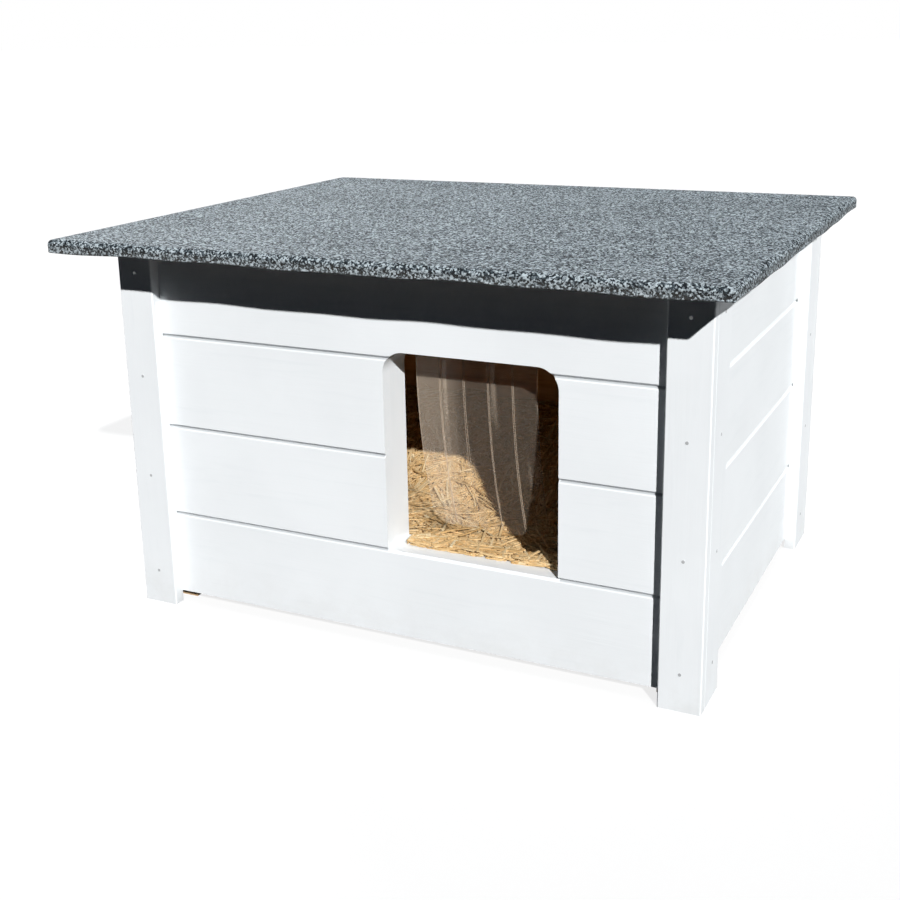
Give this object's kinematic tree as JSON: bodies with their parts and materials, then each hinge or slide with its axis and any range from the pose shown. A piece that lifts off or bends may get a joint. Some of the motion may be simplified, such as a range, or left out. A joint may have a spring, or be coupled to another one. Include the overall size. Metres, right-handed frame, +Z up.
{
  "type": "pet house",
  "caption": "Insulated timber pet house with grooved board walls, hinged flat felt roof and a clear strip flap in the doorway.",
  "frame": {"origin": "on the ground under the middle of the roof", "axes": "+X to the right along the front, +Y from the doorway into the house, +Z up"},
  "size_m": [0.67, 0.561, 0.3975],
  "materials": {
    "white_paint": "white satin paint on grooved softwood",
    "bare_wood": "unpainted wood",
    "insulation": "foam sheet",
    "clear_pvc": "clear flexible sheet",
    "roofing_felt": "mineral-faced felt",
    "straw": "loose straw",
    "painted_steel": "painted nail heads",
    "zinc_steel": "zinc plated steel"
  },
  "bodies": {
    "hut": {"back_board_1": "white_paint", "back_board_2": "white_paint", "back_board_3": "white_paint", "back_board_4": "white_paint", "back_insulation": "insulation", "back_lining": "bare_wood", "back_trim_left": "white_paint", "back_trim_right": "white_paint", "doorway_lining": "white_paint", "flap_batten": "bare_wood", "flap_header": "clear_pvc", "floor_base": "bare_wood", "floor_insulation": "insulation", "floor_panel": "bare_wood", "front_board_1": "white_paint", "front_board_2_left": "white_paint", "front_board_2_right": "white_paint", "front_board_3_left": "white_paint", "front_board_3_right": "white_paint", "front_board_4": "white_paint", "front_insulation": "insulation", "front_lining": "bare_wood", "front_trim_left": "white_paint", "front_trim_right": "white_paint", "hinge_left_wall_leaf": "zinc_steel", "hinge_pins": "zinc_steel", "hinge_right_wall_leaf": "zinc_steel", "left_board_1": "white_paint", "left_board_2": "white_paint", "left_board_3": "white_paint", "left_board_4": "white_paint", "left_insulation": "insulation", "left_lining": "bare_wood", "left_trim_back": "white_paint", "left_trim_front": "white_paint", "post_back_left": "bare_wood", "post_back_right": "bare_wood", "post_front_left": "bare_wood", "post_front_right": "bare_wood", "right_board_1": "white_paint", "right_board_2": "white_paint", "right_board_3": "white_paint", "right_board_4": "white_paint", "right_insulation": "insulation", "right_lining": "bare_wood", "right_trim_back": "white_paint", "right_trim_front": "white_paint", "straw_bedding": "straw", "trim_nails": "painted_steel", "wall_screws": "zinc_steel"},
    "roof": {"roof_deck": "bare_wood", "roof_felt": "roofing_felt", "hinge_left_roof_leaf": "zinc_steel", "hinge_right_roof_leaf": "zinc_steel", "hinge_roof_screws": "zinc_steel"},
    "flap_strip_1": {"flap_strip_1": "clear_pvc"},
    "flap_strip_2": {"flap_strip_2": "clear_pvc"},
    "flap_strip_3": {"flap_strip_3": "clear_pvc"},
    "flap_strip_4": {"flap_strip_4": "clear_pvc"},
    "flap_strip_5": {"flap_strip_5": "clear_pvc"}
  },
  "joints": [
    {"name": "roof_hinge", "type": "hinge", "parent": "hut", "child": "roof", "pos_m": [0, 0.2517, 0.3808], "axis": [-1, 0, 0], "range_deg": [0, 95]},
    {"name": "flap_strip_1_bend", "type": "hinge", "parent": "hut", "child": "flap_strip_1", "pos_m": [0.0133, -0.1595, 0.29], "axis": [1, 0, 0], "range_deg": [-60, 70]},
    {"name": "flap_strip_2_bend", "type": "hinge", "parent": "hut", "child": "flap_strip_2", "pos_m": [0.0385, -0.1595, 0.29], "axis": [1, 0, 0], "range_deg": [-60, 70]},
    {"name": "flap_strip_3_bend", "type": "hinge", "parent": "hut", "child": "flap_strip_3", "pos_m": [0.0637, -0.1595, 0.29], "axis": [1, 0, 0], "range_deg": [-60, 70]},
    {"name": "flap_strip_4_bend", "type": "hinge", "parent": "hut", "child": "flap_strip_4", "pos_m": [0.0889, -0.1595, 0.29], "axis": [1, 0, 0], "range_deg": [-60, 70]},
    {"name": "flap_strip_5_bend", "type": "hinge", "parent": "hut", "child": "flap_strip_5", "pos_m": [0.1141, -0.1595, 0.29], "axis": [1, 0, 0], "range_deg": [-60, 70]}
  ]
}
